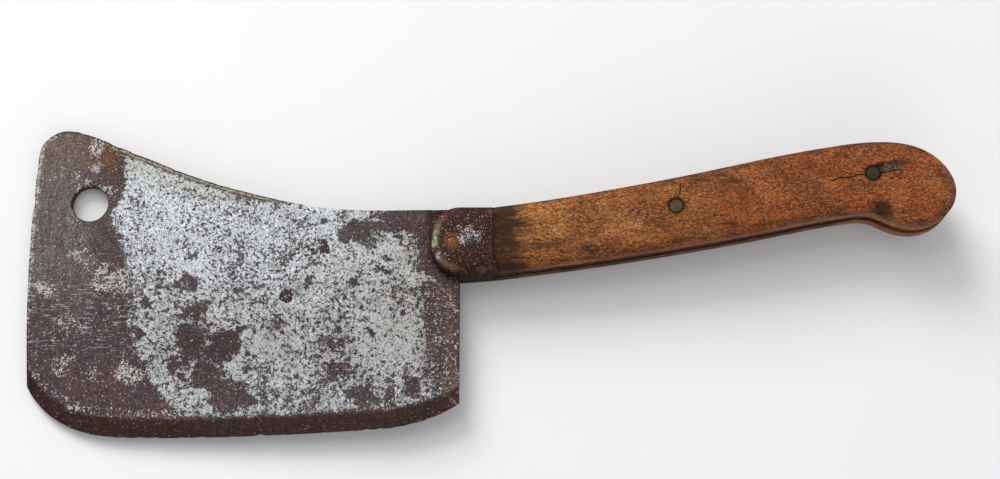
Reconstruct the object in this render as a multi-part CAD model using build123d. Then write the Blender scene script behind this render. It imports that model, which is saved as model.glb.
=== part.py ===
"""Meat cleaver: a forged plate with an integral full tang, two bolster cheeks and two riveted wooden scales.

All sizes are millimetres. The cleaver lies on its right side: +X runs from the toe to the butt of the
handle, +Y from the cutting edge to the spine, +Z up through the thickness. The origin is the middle of
the whole outline in X and Y, on the outer face of the right-hand bolster and scale.
"""
from build123d import *
import math
import os

# Thicknesses
plate_thickness = 5.0        # spine and tang
grip_thickness = 25.0        # over both scales, and over both bolster cheeks
shoulder_thickness = 2.2     # the plate at the edge, were there no bevel
edge_thickness = 0.6         # the worn, blunt cutting edge
bevel_half_angle = 9.5       # degrees, each side
mid_z = grip_thickness / 2
cheek_thickness = (grip_thickness - plate_thickness) / 2

# Blade outline
toe_x = -218.8
toe_top = (-217.2, 60.9)
toe_middle = (-218.7, 0.0)
toe_bottom = (-216.2, -50.5)
toe_corner_radius = 13.2
spine_top_y = 74.1
heel_x = -15.7
heel_spine_y = 35.0
heel_edge_y = -58.0
edge_low_y = -74.0
taper_start_y = 0.0          # the plate thins from here down to the edge
spine_points = [(-188.4, 70.2), (-164.0, 59.9), (-134.9, 48.7), (-106.1, 40.8), (-77.5, 35.6), (-50.0, 34.6)]
edge_points = [(-203.0, -65.1), (-190.7, -71.0), (-172.1, -73.8), (-145.0, edge_low_y), (-100.0, -72.8),
               (-60.0, -70.4), (-40.0, -68.2), (-29.6, -65.1)]

# Hang hole near the toe
hang_hole_centre = (-191.5, 37.8)
hang_hole_diameter = 17.0

# Bolster
bolster_front_x = -29.4
bolster_top_y = 34.2
bolster_bottom_y = 0.3
bolster_corner_radius = 14.0
joint_x = 0.4                # the joint between bolster and wood
joint_bend_y = 16.5          # below this the joint sweeps back towards the butt
joint_foot = (3.1, 2.9)
outer_edge_radius = 4.5      # rounding of the bolster's and the scales' outer edges

# Handle outline, from the bolster over the back to the butt, and back under the hooked pommel
handle_back_points = [(26.8, 37.9), (50.5, 42.0), (98.1, 51.3), (134.0, 59.2), (158.0, 63.7), (184.3, 66.5),
                      (203.2, 63.2), (214.5, 54.2), (218.8, 42.5), (214.9, 32.3)]
pommel_low_point = (199.3, 24.5)
handle_belly_points = [(187.0, 27.0), (177.2, 30.9), (169.0, 30.7), (134.5, 24.2), (98.5, 17.3), (50.7, 9.4),
                       (22.0, 5.4)]
hook_notch = (175.0, 31.4)
tang_butt_foot = (222.0, 36.4)   # the tang's lower edge runs straight from the notch towards this point

# Fasteners
bolster_pin_diameter = 4.7
bolster_pin_front = (-19.4, 16.9)
bolster_pin_rear = (-11.4, 19.4)
rivet_front = (85.9, 34.1)
rivet_rear = (179.2, 50.0)
rivet_head_diameter = 6.8
rivet_head_thickness = 1.5
rivet_head_sink = 0.3        # each head lies this far below the wood
rivet_tube_diameter = 4.8
rivet_pin_diameter = 3.2
rivet_split_z = 8.0          # the sleeve's open end meets the post's shank here
rivet_pin_top_z = 19.0

mid_plane = Plane.XY.offset(mid_z)
clear = 5.0                  # how far a cutting solid stands past what it cuts


def joint_edges():
    """Front end of the wood and rear end of the bolster: straight, then swept back at the foot."""
    top = (joint_x, bolster_top_y)
    bend = (joint_x, joint_bend_y)
    return [Line(top, bend), TangentArc(bend, joint_foot, tangent=(0, -1))]


def handle_face():
    """Full outline of one scale, with the hooked pommel."""
    back_top = (joint_x, bolster_top_y)
    back_and_belly = Spline(back_top, *handle_back_points, pommel_low_point, *handle_belly_points, joint_foot)
    return make_face([*joint_edges(), back_and_belly])


def bolster_face():
    """Rounded D, closed at the rear by the joint with the wood."""
    front = (bolster_front_x, bolster_bottom_y)
    outline = [
        Line((joint_x, bolster_top_y), (bolster_front_x, bolster_top_y)),
        Line((bolster_front_x, bolster_top_y), front),
        Line(front, joint_foot),
        *joint_edges(),
    ]
    face = make_face(outline)
    corners = face.vertices().group_by(Axis.X)[0]
    return fillet(corners, bolster_corner_radius)


def edge_curve():
    """The cutting edge, from the toe to the heel."""
    return Spline(toe_bottom, *edge_points, (heel_x, heel_edge_y))


def plate_face():
    """Outline of the blade alone, without the tang."""
    corner_start = (toe_top[0] + toe_corner_radius, spine_top_y)
    outline = [
        Line((heel_x, heel_edge_y), (heel_x, heel_spine_y)),
        Spline((heel_x, heel_spine_y), *reversed(spine_points), corner_start, tangents=[(-1, 0), (-1, 0)]),
        JernArc(corner_start, (-1, 0), toe_corner_radius, 90),
        Spline(toe_top, toe_middle, toe_bottom),
        edge_curve(),
    ]
    return make_face(outline)


def plate_section():
    """Section of the blade across its length: parallel to taper_start_y, then a straight wedge."""
    spine = spine_top_y + clear
    edge = edge_low_y - clear
    half = plate_thickness / 2
    taper = (half - shoulder_thickness / 2) / (taper_start_y - edge_low_y)
    half_at_edge = half - taper * (taper_start_y - edge)
    profile = [(spine, half), (taper_start_y, half), (edge, half_at_edge)]
    lower = [(y, -z) for y, z in reversed(profile)]
    plane = Plane(origin=(toe_x - clear, 0, mid_z), x_dir=(0, 1, 0), z_dir=(1, 0, 0))
    return plane * make_face(Polyline(*profile, *lower, close=True))


def bevel_cutter(side):
    """Solid above (side 1) or below (side -1) the bevel, swept along the cutting edge."""
    path = mid_plane * edge_curve()
    start = path % 0
    inward = (-start.Y, start.X, 0)
    plane = Plane(origin=path @ 0, x_dir=inward, z_dir=start)
    slope = math.tan(math.radians(bevel_half_angle))
    reach = (plate_thickness / 2 - edge_thickness / 2) / slope
    outside = -2.0
    section = [
        (outside, side * (edge_thickness / 2 + slope * outside)),
        (reach, side * plate_thickness / 2),
        (reach, side * plate_thickness),
        (outside, side * plate_thickness),
    ]
    return sweep(plane * make_face(Polyline(*section, close=True)), path=path)


def pierce(centre, diameter):
    """A round cutter through the whole thickness."""
    x, y = centre
    return Pos(x, y, mid_z) * Cylinder(diameter / 2, grip_thickness + 2 * clear)


def tang():
    """Full-width tang. It runs under both bolster cheeks and both scales, and cuts straight across the hook."""
    hook = Polyline(hook_notch, tang_butt_foot, (tang_butt_foot[0], 0), (hook_notch[0], 0), close=True)
    outline = handle_face() - make_face(hook) + bolster_face()
    return extrude(mid_plane * outline, plate_thickness / 2, both=True)


def blade():
    """Blade plate and tang, forged as one piece, with the hang hole and the fastener holes."""
    length = heel_x - toe_x + clear
    plate = extrude(mid_plane * plate_face(), plate_thickness, both=True) & extrude(plate_section(), length)
    for side in (1, -1):
        plate -= bevel_cutter(side)
    body = plate + tang()
    body -= pierce(hang_hole_centre, hang_hole_diameter)
    for centre in (bolster_pin_front, bolster_pin_rear):
        body -= pierce(centre, bolster_pin_diameter)
    for centre in (rivet_front, rivet_rear):
        body -= pierce(centre, rivet_tube_diameter)
    return body


def on_joint(edge):
    """Whether an edge of the outer face lies on the joint between bolster and wood."""
    return joint_x - clear / 100 < (edge @ 0.5).X < joint_foot[0]


def rounded_slab(face, side):
    """A cheek or scale on the left (side 1) or right (side -1) of the tang, rounded outside except at the joint."""
    tang_face_z = mid_z + side * plate_thickness / 2
    slab = extrude(Pos(0, 0, tang_face_z) * face, side * cheek_thickness)
    outer_face = slab.faces().sort_by(Axis.Z)[-1 if side > 0 else 0]
    return fillet([edge for edge in outer_face.edges() if not on_joint(edge)], outer_edge_radius)


def bolster(side):
    """Bolster cheek with its two pin holes."""
    cheek = rounded_slab(bolster_face(), side)
    for centre in (bolster_pin_front, bolster_pin_rear):
        cheek -= pierce(centre, bolster_pin_diameter)
    return cheek


def handle_scale(side):
    """Wooden scale with a through hole and a counterbore for each rivet."""
    scale = rounded_slab(handle_face(), side)
    head_depth = rivet_head_sink + rivet_head_thickness
    counterbore_floor = mid_z + side * (mid_z - head_depth)
    mouth = mid_z + side * (mid_z + clear)
    for centre in (rivet_front, rivet_rear):
        scale -= pierce(centre, rivet_tube_diameter)
        scale -= upright(centre, rivet_head_diameter, min(counterbore_floor, mouth), max(counterbore_floor, mouth))
    return scale


def upright(centre, diameter, bottom, top):
    """A round bar standing on Z between two heights."""
    x, y = centre
    return Pos(x, y, (bottom + top) / 2) * Cylinder(diameter / 2, top - bottom)


def bolster_pin(centre):
    """Plain pin, peened and ground flush with both cheeks."""
    return upright(centre, bolster_pin_diameter, 0, grip_thickness)


def rivet_sleeve(centre):
    """Female half of a cutler's rivet: a head on the left scale and a tube through the tang."""
    head_top = grip_thickness - rivet_head_sink
    head_bottom = head_top - rivet_head_thickness
    head = upright(centre, rivet_head_diameter, head_bottom, head_top)
    tube = upright(centre, rivet_tube_diameter, rivet_split_z, head_bottom)
    bore = upright(centre, rivet_pin_diameter, rivet_split_z, rivet_pin_top_z)
    return head + tube - bore


def rivet_post(centre):
    """Male half: a head on the right scale, a shank, and a pin driven into the sleeve."""
    head_top = rivet_head_sink + rivet_head_thickness
    head = upright(centre, rivet_head_diameter, rivet_head_sink, head_top)
    shank = upright(centre, rivet_tube_diameter, head_top, rivet_split_z)
    pin = upright(centre, rivet_pin_diameter, rivet_split_z, rivet_pin_top_z)
    return head + shank + pin


def all_parts():
    parts = {
        "blade": blade(),
        "bolster_left": bolster(1),
        "bolster_right": bolster(-1),
        "bolster_pin_front": bolster_pin(bolster_pin_front),
        "bolster_pin_rear": bolster_pin(bolster_pin_rear),
        "handle_scale_left": handle_scale(1),
        "handle_scale_right": handle_scale(-1),
    }
    for name, centre in (("rivet_front", rivet_front), ("rivet_rear", rivet_rear)):
        parts[name + "_sleeve"] = rivet_sleeve(centre)
        parts[name + "_post"] = rivet_post(centre)
    return parts


os.makedirs("parts", exist_ok=True)
for node, solid in all_parts().items():
    export_step(solid, f"parts/{node}.step")
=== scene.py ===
"""Visual model of an old meat cleaver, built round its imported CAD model.

Every CAD node is replaced by a denser piece on the same outline: the worn, rusted blade, the two bolster
cheeks with their pins, and the two wooden scales with their rivets. Sizes in the shape code are
millimetres in the CAD frame: +X to the butt, +Y to the spine, +Z to the cleaver's left side.
"""
import math

import bpy
import numpy as np
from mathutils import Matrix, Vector
from mathutils.bvhtree import BVHTree
from mathutils.geometry import delaunay_2d_cdt


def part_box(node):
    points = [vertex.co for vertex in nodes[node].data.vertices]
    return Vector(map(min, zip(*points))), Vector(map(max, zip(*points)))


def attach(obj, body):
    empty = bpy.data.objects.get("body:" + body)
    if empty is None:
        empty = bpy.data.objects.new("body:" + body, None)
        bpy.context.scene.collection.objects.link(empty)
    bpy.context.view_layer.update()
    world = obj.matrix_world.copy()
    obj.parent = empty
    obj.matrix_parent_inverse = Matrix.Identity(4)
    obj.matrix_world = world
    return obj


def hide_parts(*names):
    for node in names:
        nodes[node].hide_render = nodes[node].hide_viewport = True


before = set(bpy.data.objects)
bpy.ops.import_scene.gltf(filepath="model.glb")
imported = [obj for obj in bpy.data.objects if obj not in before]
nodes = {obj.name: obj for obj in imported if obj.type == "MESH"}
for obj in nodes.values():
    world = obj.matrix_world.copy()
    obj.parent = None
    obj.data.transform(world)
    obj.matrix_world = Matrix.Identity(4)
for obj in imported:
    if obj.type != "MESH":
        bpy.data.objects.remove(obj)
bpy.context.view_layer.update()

MM = 0.001


# ---------------------------------------------------------------- numbers and noise

def smooth(value, low, high):
    """0 below low, 1 above high, and an easy curve between. High may be under low."""
    t = np.clip((value - low) / (high - low), 0.0, 1.0)
    return t * t * (3.0 - 2.0 * t)


def lattice(cell, seed):
    """A fixed random number from 0 to 1 for each whole-number cell."""
    h = cell[..., 0] * 374761393 + cell[..., 1] * 668265263 + cell[..., 2] * 1103515245 + seed * 974634777
    h = h & 0xFFFFFFFF
    h = ((h ^ (h >> 13)) * 1274126177) & 0xFFFFFFFF
    return ((h ^ (h >> 16)) & 0xFFFF) / 65535.0


def noise(points, size, seed=0, octaves=1):
    """Smooth random field from 0 to 1 whose features are about size across."""
    total = np.zeros(len(points))
    weight_sum = 0.0
    for octave in range(octaves):
        p = points * (2.0 ** octave) / np.asarray(size, dtype=float) + 17.3 * (seed + octave)
        cell = np.floor(p).astype(np.int64)
        f = p - cell
        f = f * f * (3.0 - 2.0 * f)
        value = 0.0
        for corner in np.ndindex(2, 2, 2):
            share = np.prod(np.where(corner, f, 1.0 - f), axis=-1)
            value = value + share * lattice(cell + np.array(corner), seed + octave)
        weight = 0.5 ** octave
        total += weight * value
        weight_sum += weight
    return total / weight_sum


def rotated(x, y, degrees):
    """The same offsets, measured along and across a line at this angle."""
    c, s = math.cos(math.radians(degrees)), math.sin(math.radians(degrees))
    return x * c + y * s, y * c - x * s


def blobs(points, spots, ragged=2.0, seed=5):
    """Strongest of several soft ellipses: (x, y, half length, half width, tilt in degrees, amount)."""
    shift_x, shift_y = ((noise(points, 6.0, seed + i, 3) - 0.5) * 2.0 * ragged for i in range(2))
    field = np.zeros(len(points))
    for x, y, half_length, half_width, tilt, amount in spots:
        along, across = rotated(points[:, 0] + shift_x - x, points[:, 1] + shift_y - y, tilt)
        r = np.hypot(along / half_length, across / half_width)
        field = np.maximum(field, amount * smooth(r, 1.5, 0.5))
    return field


# ---------------------------------------------------------------- reading the CAD mesh

class Shell:
    """Welded triangles of one CAD node in millimetres, with its outline rims and its heights."""

    def __init__(self, node):
        mesh = nodes[node].data
        mesh.calc_loop_triangles()
        raw = np.empty(len(mesh.vertices) * 3)
        mesh.vertices.foreach_get("co", raw)
        tris = np.empty(len(mesh.loop_triangles) * 3, dtype=np.int64)
        mesh.loop_triangles.foreach_get("vertices", tris)
        points, index = np.unique(np.round(raw.reshape(-1, 3) / MM, 4), axis=0, return_inverse=True)
        tris = index.ravel()[tris].reshape(-1, 3)
        flat = (tris[:, 0] == tris[:, 1]) | (tris[:, 1] == tris[:, 2]) | (tris[:, 0] == tris[:, 2])
        self.points, self.tris = points, tris[~flat]
        self.low, self.high = points[:, 2].min(), points[:, 2].max()
        self.tree = BVHTree.FromPolygons([Vector(p) for p in points], [list(map(int, t)) for t in self.tris])

    def section(self, z):
        """Closed XY outlines of the cut at height z, the longest first."""
        above = self.points[:, 2] > z
        links = {}
        for tri in self.tris[above[self.tris].any(axis=1) & ~above[self.tris].all(axis=1)]:
            edges = [(int(tri[i]), int(tri[(i + 1) % 3])) for i in range(3)]
            start, end = [(min(edge), max(edge)) for edge in edges if above[edge[0]] != above[edge[1]]]
            links.setdefault(start, []).append(end)
            links.setdefault(end, []).append(start)
        loops = []
        while links:
            first = min(links)
            keys, here = [], first
            while here in links:
                keys.append(here)
                onward = [key for key in links.pop(here) if key in links]
                here = onward[0] if onward else first
            low, high = (self.points[list(side)] for side in zip(*keys))
            share = (z - low[:, 2]) / (high[:, 2] - low[:, 2])
            line = (low + (high - low) * share[:, None])[:, :2]
            loops.append(line[np.linalg.norm(line - np.roll(line, 1, axis=0), axis=1) > 0.01])
        return sorted(loops, key=lambda loop: -np.ptp(loop[:, 0]))

    def height(self, xy, facing):
        """Height of the surface that faces up (1) or down (-1) at each point."""
        start = self.high + 5.0 if facing > 0 else self.low - 5.0
        heights = np.empty(len(xy))
        for i, (x, y) in enumerate(xy * (1.0 - 1e-6)):
            hit = self.tree.ray_cast(Vector((x, y, start)), Vector((0.0, 0.0, -facing)))[0]
            heights[i] = np.nan if hit is None else hit.z
        return heights


def travelled(line):
    """Distance from the start of a line to each of its points."""
    return np.concatenate([[0.0], np.cumsum(np.linalg.norm(np.diff(line, axis=0), axis=1))])


def places_along(line, at):
    """The points of a line that are these distances from its start."""
    along = travelled(line)
    return np.column_stack([np.interp(at, along, line[:, i]) for i in range(2)])


def resample(loop, spacing, corner_angle=22.0):
    """The same closed line with even spacing between its sharp corners."""
    ahead = np.roll(loop, -1, axis=0) - loop
    behind = loop - np.roll(loop, 1, axis=0)
    turn = np.arctan2(behind[:, 0] * ahead[:, 1] - behind[:, 1] * ahead[:, 0], (behind * ahead).sum(axis=1))
    corners = list(np.flatnonzero(np.abs(turn) > math.radians(corner_angle))) or [0]
    loop = np.roll(loop, -corners[0], axis=0)
    corners = [c - corners[0] for c in corners] + [len(loop)]
    closed = np.vstack([loop, loop[:1]])
    out = []
    for first, last in zip(corners, corners[1:]):
        run = closed[first:last + 1]
        length = travelled(run)[-1]
        count = max(1, round(length / spacing))
        out.append(places_along(run, np.linspace(0.0, length, count + 1)[:-1]))
    return np.vstack(out)


def signed_area(loop):
    ahead = np.roll(loop, -1, axis=0)
    return 0.5 * float((loop[:, 0] * ahead[:, 1] - loop[:, 1] * ahead[:, 0]).sum())


def inside(xy, loops):
    """Whether each point is inside an odd number of the loops."""
    crossings = np.zeros(len(xy), dtype=np.int64)
    for loop in loops:
        a, b = loop, np.roll(loop, -1, axis=0)
        for (ax, ay), (bx, by) in zip(a, b):
            spans = (ay > xy[:, 1]) != (by > xy[:, 1])
            if ay != by:
                crossings += spans & (xy[:, 0] < (bx - ax) * (xy[:, 1] - ay) / (by - ay) + ax)
    return crossings % 2 == 1


def offset_from(xy, a, b):
    """How far each point is in X and Y from the nearest point of the straight line from a to b."""
    run = b - a
    t = np.clip(((xy - a) @ run) / (run @ run), 0.0, 1.0)
    return xy - (a + t[:, None] * run)


def nearest_on(xy, loops):
    """Distance from each point to the nearest loop, and the unit direction away from it."""
    best = np.full(len(xy), 1e9)
    away = np.zeros((len(xy), 2))
    for loop in loops:
        for a, b in zip(loop, np.roll(loop, -1, axis=0)):
            offset = offset_from(xy, a, b)
            d = np.hypot(offset[:, 0], offset[:, 1])
            closer = d < best
            best[closer] = d[closer]
            away[closer] = offset[closer]
    return best, away / np.maximum(best, 1e-9)[:, None]


def loop_inward(loop):
    """Unit direction into the material at each point of a loop that has the material on its left."""
    along = np.roll(loop, -1, axis=0) - np.roll(loop, 1, axis=0)
    along /= np.linalg.norm(along, axis=1)[:, None]
    return np.column_stack([-along[:, 1], along[:, 0]])


# ---------------------------------------------------------------- dense plate-like meshes

def shaken(grid, seed, share, spacing):
    """The same points, each moved at random by up to half this share of the spacing."""
    return grid + (np.random.default_rng(seed).random(grid.shape) - 0.5) * share * spacing


def filled(heights, xy):
    """The same heights, with each missing one taken from the nearest point that has one."""
    good = np.flatnonzero(~np.isnan(heights))
    for j in np.flatnonzero(np.isnan(heights)):
        near = good[np.argmin(((xy[good] - xy[j]) ** 2).sum(axis=1))]
        heights[j] = heights[near]
    return heights


def even_wall(rows):
    """Evenly spaced wall rows, as each row's share of the height and its inset."""
    return [((row + 1) / (rows + 1), 0.0) for row in range(rows)]


class Slab:
    """Closed mesh on a CAD outline: a top and a bottom surface on one triangulation, and rows of wall."""

    def __init__(self, node, spacing, rings, extra_points=(), reshape=None):
        shell = Shell(node)
        just_inside = 0.013
        cut_height = min(max(MID_Z, shell.low + just_inside), shell.high - just_inside)
        loops = [resample(loop, spacing) for loop in shell.section(cut_height)]
        loops = [loop if (signed_area(loop) > 0) == (i == 0) else loop[::-1] for i, loop in enumerate(loops)]
        if reshape:
            loops = [reshape(loop, loop_inward(loop), i) for i, loop in enumerate(loops)]
        self.loops = loops
        rim = np.vstack(loops)
        rim_inward = np.vstack([loop_inward(loop) for loop in loops])
        inner = np.vstack([rim + rim_inward * depth for depth in rings])
        clear = nearest_on(inner, loops)[0] > 0.93 * np.repeat(rings, len(rim))
        inner = inner[clear & inside(inner, loops)]
        grid = self.hex_grid(rim, spacing, rings[-1] + 0.55 * spacing)
        self.triangulate(rim, [inner, grid, *extra_points])
        self.measure_heights(shell)

    def hex_grid(self, rim, spacing, margin):
        """Staggered points inside the outline, at least this margin away from it."""
        low, high = rim.min(axis=0), rim.max(axis=0)
        rows = []
        for i, y in enumerate(np.arange(low[1], high[1], spacing * math.sqrt(3.0) / 2.0)):
            xs = np.arange(low[0] + (i % 2) * spacing / 2, high[0], spacing)
            rows.append(np.column_stack([xs, np.full(len(xs), y)]))
        grid = shaken(np.vstack(rows), 7, 0.25, spacing)
        grid = grid[inside(grid, self.loops)]
        return grid[nearest_on(grid, self.loops)[0] > margin]

    def triangulate(self, rim, groups):
        """Triangles over the rim and the points inside it, and where each loop's points have gone."""
        starts = np.cumsum([0] + [len(loop) for loop in self.loops])
        spans = [range(start, end) for start, end in zip(starts, starts[1:])]
        edges = [edge for span in spans for edge in zip(span, [*span[1:], span[0]])]
        points = [Vector(p) for p in np.vstack([rim, *groups])]
        verts, _, faces, origin, _, _ = delaunay_2d_cdt(points, edges, [], 0, 1e-6)
        self.xy = np.array([tuple(v) for v in verts])
        place = {source: i for i, sources in enumerate(origin) for source in sources}
        self.rim_ids = [[place[i] for i in span] for span in spans]
        tris = np.array([f for f in faces if len(f) == 3], dtype=np.int64)
        tris = tris[inside(self.xy[tris].mean(axis=1), self.loops)]
        a, b, c = (self.xy[tris[:, i]] for i in range(3))
        area = (b[:, 0] - a[:, 0]) * (c[:, 1] - a[:, 1]) - (b[:, 1] - a[:, 1]) * (c[:, 0] - a[:, 0])
        tris[area < 0] = tris[area < 0][:, ::-1]
        self.tris = tris[np.abs(area) > 1e-7]

    def measure_heights(self, shell):
        """Depth inside the outline, and the CAD heights of both surfaces, at every point."""
        self.depth, self.inward = nearest_on(self.xy, self.loops)
        for loop, ids in zip(self.loops, self.rim_ids):
            self.depth[ids] = 0.0
            self.inward[ids] = loop_inward(loop)
        probe = self.xy + self.inward * np.where(self.depth < 0.04, 0.04, 0.0)[:, None]
        self.top, self.bottom = (filled(shell.height(probe, facing), self.xy) for facing in (1, -1))

    def build(self, name, top_z, bottom_z, wall, sharp_angle):
        """Makes the piece. wall gives each wall row's share of the height and its inset."""
        n = len(self.xy)
        points = [np.column_stack([self.xy, z]) for z in (top_z, bottom_z)]
        faces = [tuple(t) for t in self.tris] + [tuple(n + t[::-1]) for t in self.tris]
        count = 2 * n
        for ids in self.rim_ids:
            rows = [ids]
            for share, inset in wall:
                rows.append(range(count, count + len(ids)))
                z = top_z[ids] * (1.0 - share) + bottom_z[ids] * share
                points.append(np.column_stack([self.xy[ids] + self.inward[ids] * inset, z]))
                count += len(ids)
            rows.append([n + i for i in ids])
            for upper, lower in zip(rows, rows[1:]):
                for i in range(len(ids)):
                    j = (i + 1) % len(ids)
                    faces.append((upper[i], lower[i], lower[j], upper[j]))
        self.points = np.vstack(points)
        return mesh_object(name, self.points, faces, sharp_angle)


def new_object(name, data):
    """A new object in the scene."""
    item = bpy.data.objects.new(name, data)
    bpy.context.scene.collection.objects.link(item)
    return item


def mesh_object(name, points, faces, sharp_angle):
    """Mesh object from millimetre points, smooth except across sharp edges."""
    mesh = bpy.data.meshes.new(name)
    mesh.from_pydata((np.asarray(points) * MM).tolist(), [], [tuple(map(int, f)) for f in faces])
    mesh.validate()
    mesh.update()
    mesh.shade_smooth()
    mesh.set_sharp_from_angle(angle=math.radians(sharp_angle))
    return new_object(name, mesh)


def paint(piece, name, red, green=0.0, blue=0.0):
    """Stores three fields from 0 to 1 as one colour attribute on the piece's points."""
    n = len(piece.data.vertices)
    values = np.ones((n, 4))
    for channel, field in enumerate((red, green, blue)):
        values[:, channel] = np.clip(field, 0.0, 1.0)
    attribute = piece.data.attributes.new(name, "FLOAT_COLOR", "POINT")
    attribute.data.foreach_set("color", values.ravel())


def settle(piece, node, material):
    """Puts a finished piece in the place of its CAD node."""
    piece.data.materials.append(material)
    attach(piece, "root")
    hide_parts(node)
    return piece


# ---------------------------------------------------------------- the blade

def in_mm(box):
    """Lowest and highest corner of a box in millimetres."""
    return np.array([list(corner) for corner in box]) / MM


BLADE_LOW, BLADE_HIGH = in_mm(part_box("blade"))
TOE_X, EDGE_Y, SPINE_Y = BLADE_LOW[0], BLADE_LOW[1], BLADE_HIGH[1]
MID_Z = (BLADE_LOW[2] + BLADE_HIGH[2]) / 2
(BOLSTER_FRONT, BOLSTER_LOW), (_, BOLSTER_TOP) = in_mm(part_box("bolster_left"))[:, :2]
BOLSTER_CORNER = 14.0
JOINT_X, BUTT_X = in_mm(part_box("handle_scale_left"))[:, 0]


def find_heel():
    """X of the heel: the rearmost point of the blade below the bolster."""
    points = Shell("blade").points
    return float(points[points[:, 1] < BOLSTER_LOW - 5.0][:, 0].max())


HEEL_X = find_heel()
LENGTH, HEIGHT = HEEL_X - TOE_X, SPINE_Y - EDGE_Y
BEVEL_WIDTH = 8.5


def on_blade(along, up):
    """A place on the blade, from its share of the length behind the toe and of the height over the edge."""
    return TOE_X + along * LENGTH, EDGE_Y + up * HEIGHT


STAMP = (*on_blade(0.65, 0.6), 9.5, 3.5, 15.0)
RING = (*on_blade(0.6, 0.45), 3.0)


def scatter(seed, count, corners, sizes, amounts):
    """Random spots over a part of the blade, given by two corners as shares of its length and height."""
    pick = np.random.default_rng(seed)
    (front, low), (rear, high) = corners
    spots = []
    for _ in range(count):
        x, y = on_blade(pick.uniform(front, rear), pick.uniform(low, high))
        half_length = sizes[0] * (sizes[1] / sizes[0]) ** pick.random()
        half_width = half_length * pick.uniform(0.4, 1.0)
        spots.append((x, y, half_length, half_width, pick.uniform(-40.0, 40.0), pick.uniform(*amounts)))
    return spots


def rust_patches(seed):
    """Rust on the bright steel: crowded behind the toe, over the edge and before the bolster."""
    return (scatter(seed, 16, ((0.25, 0.08), (0.42, 0.6)), (2.0, 10.0), (0.45, 0.9))
            + scatter(seed + 4, 4, ((0.38, 0.12), (0.5, 0.35)), (7.0, 12.0), (0.8, 1.0))
            + scatter(seed + 1, 18, ((0.35, 0.07), (1.0, 0.24)), (2.0, 8.0), (0.4, 0.9))
            + scatter(seed + 2, 10, ((0.7, 0.62), (1.0, 0.75)), (2.0, 9.0), (0.4, 0.9))
            + scatter(seed + 3, 26, ((0.25, 0.25), (0.95, 0.72)), (0.8, 3.5), (0.35, 0.8)))


def toe_end(y):
    """X where the rusted toe gives way to bright steel: a fifth of the way back, twice that at the edge."""
    up = (y - EDGE_Y) / HEIGHT
    return TOE_X + LENGTH * (0.2 + 0.2 * (1.0 - up) ** 3)


def cutting_edge(loop):
    """X and Y of the outline's points along the cutting edge, from toe to heel."""
    low = loop[(loop[:, 1] < EDGE_Y + 26.0) & (loop[:, 0] < HEEL_X - 0.3)]
    return np.array(sorted(map(tuple, low))).T


def worn_outline(loop, inward, index):
    """Nicks in the cutting edge, an uneven spine, and a tang a little lower than the wood beside it."""
    flat = np.column_stack([loop, np.zeros(len(loop))])
    if index > 0:
        wear = noise(flat, 3.0, 34, 2) * 0.3 * (loop[:, 0] < HEEL_X)
        return loop + inward * wear[:, None]
    plate = loop[:, 0] < HEEL_X - 0.5
    edge = smooth(loop[:, 1], EDGE_Y + 26.0, EDGE_Y + 14.0) * plate
    nick = smooth(noise(flat, 7.0, 21, 2), 0.60, 0.85) * 0.6 + smooth(noise(flat, 2.2, 22), 0.62, 0.9) * 0.3
    spine = smooth(loop[:, 1], BOLSTER_TOP - 1.0, BOLSTER_TOP + 2.0) * (loop[:, 0] < HEEL_X)
    dent = smooth(noise(flat, 5.0, 31, 2), 0.5, 0.85) * 0.55 + noise(flat, 1.8, 32) * 0.12
    plain = noise(flat, 3.0, 33) * 0.15 * plate
    under_wood = (loop[:, 0] > JOINT_X) * (0.30 + 0.25 * noise(flat, 6.0, 35, 2))
    return loop + inward * (edge * nick + spine * dent + plain + under_wood)[:, None]


def stamp_field(flat):
    """Worn, unreadable rows of a maker's die, and a round punch mark: how deep each point is pressed."""
    x, y, half_length, half_width, tilt = STAMP
    along, across = rotated(flat[:, 0] - x, flat[:, 1] - y, tilt)
    box = smooth(np.abs(along), half_length + 1.0, half_length - 1.5)
    box = box * smooth(np.abs(across), half_width + 0.8, half_width - 0.8)
    rows = 0.5 + 0.5 * np.cos(across * 2.0 * math.pi / 2.1)
    ticks = noise(np.column_stack([along, across, along * 0.0]), (0.75, 1.9, 1.0), 46, 2)
    smudge = smooth(along, 3.0, 8.0)
    die = box * smooth(0.40 * rows + ticks + 0.45 * smudge, 0.74, 1.02)
    ring_x, ring_y, ring_radius = RING
    r = np.hypot(flat[:, 0] - ring_x, flat[:, 1] - ring_y) + (noise(flat, 1.6, 48, 2) - 0.5) * 1.4
    punch = np.maximum(smooth(np.abs(r - 0.68 * ring_radius), 1.5, 0.6), 0.45 * smooth(r, ring_radius, 0.0))
    return np.maximum(die, punch)


def fine_patch(centre, radius, spacing):
    """A disc of closer mesh points for small impressions."""
    steps = np.arange(-radius, radius + spacing, spacing)
    grid = shaken(np.stack(np.meshgrid(steps, steps), axis=-1).reshape(-1, 2), 11, 0.3, spacing)
    return grid[np.hypot(grid[:, 0], grid[:, 1]) < radius] + np.array(centre)


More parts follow.
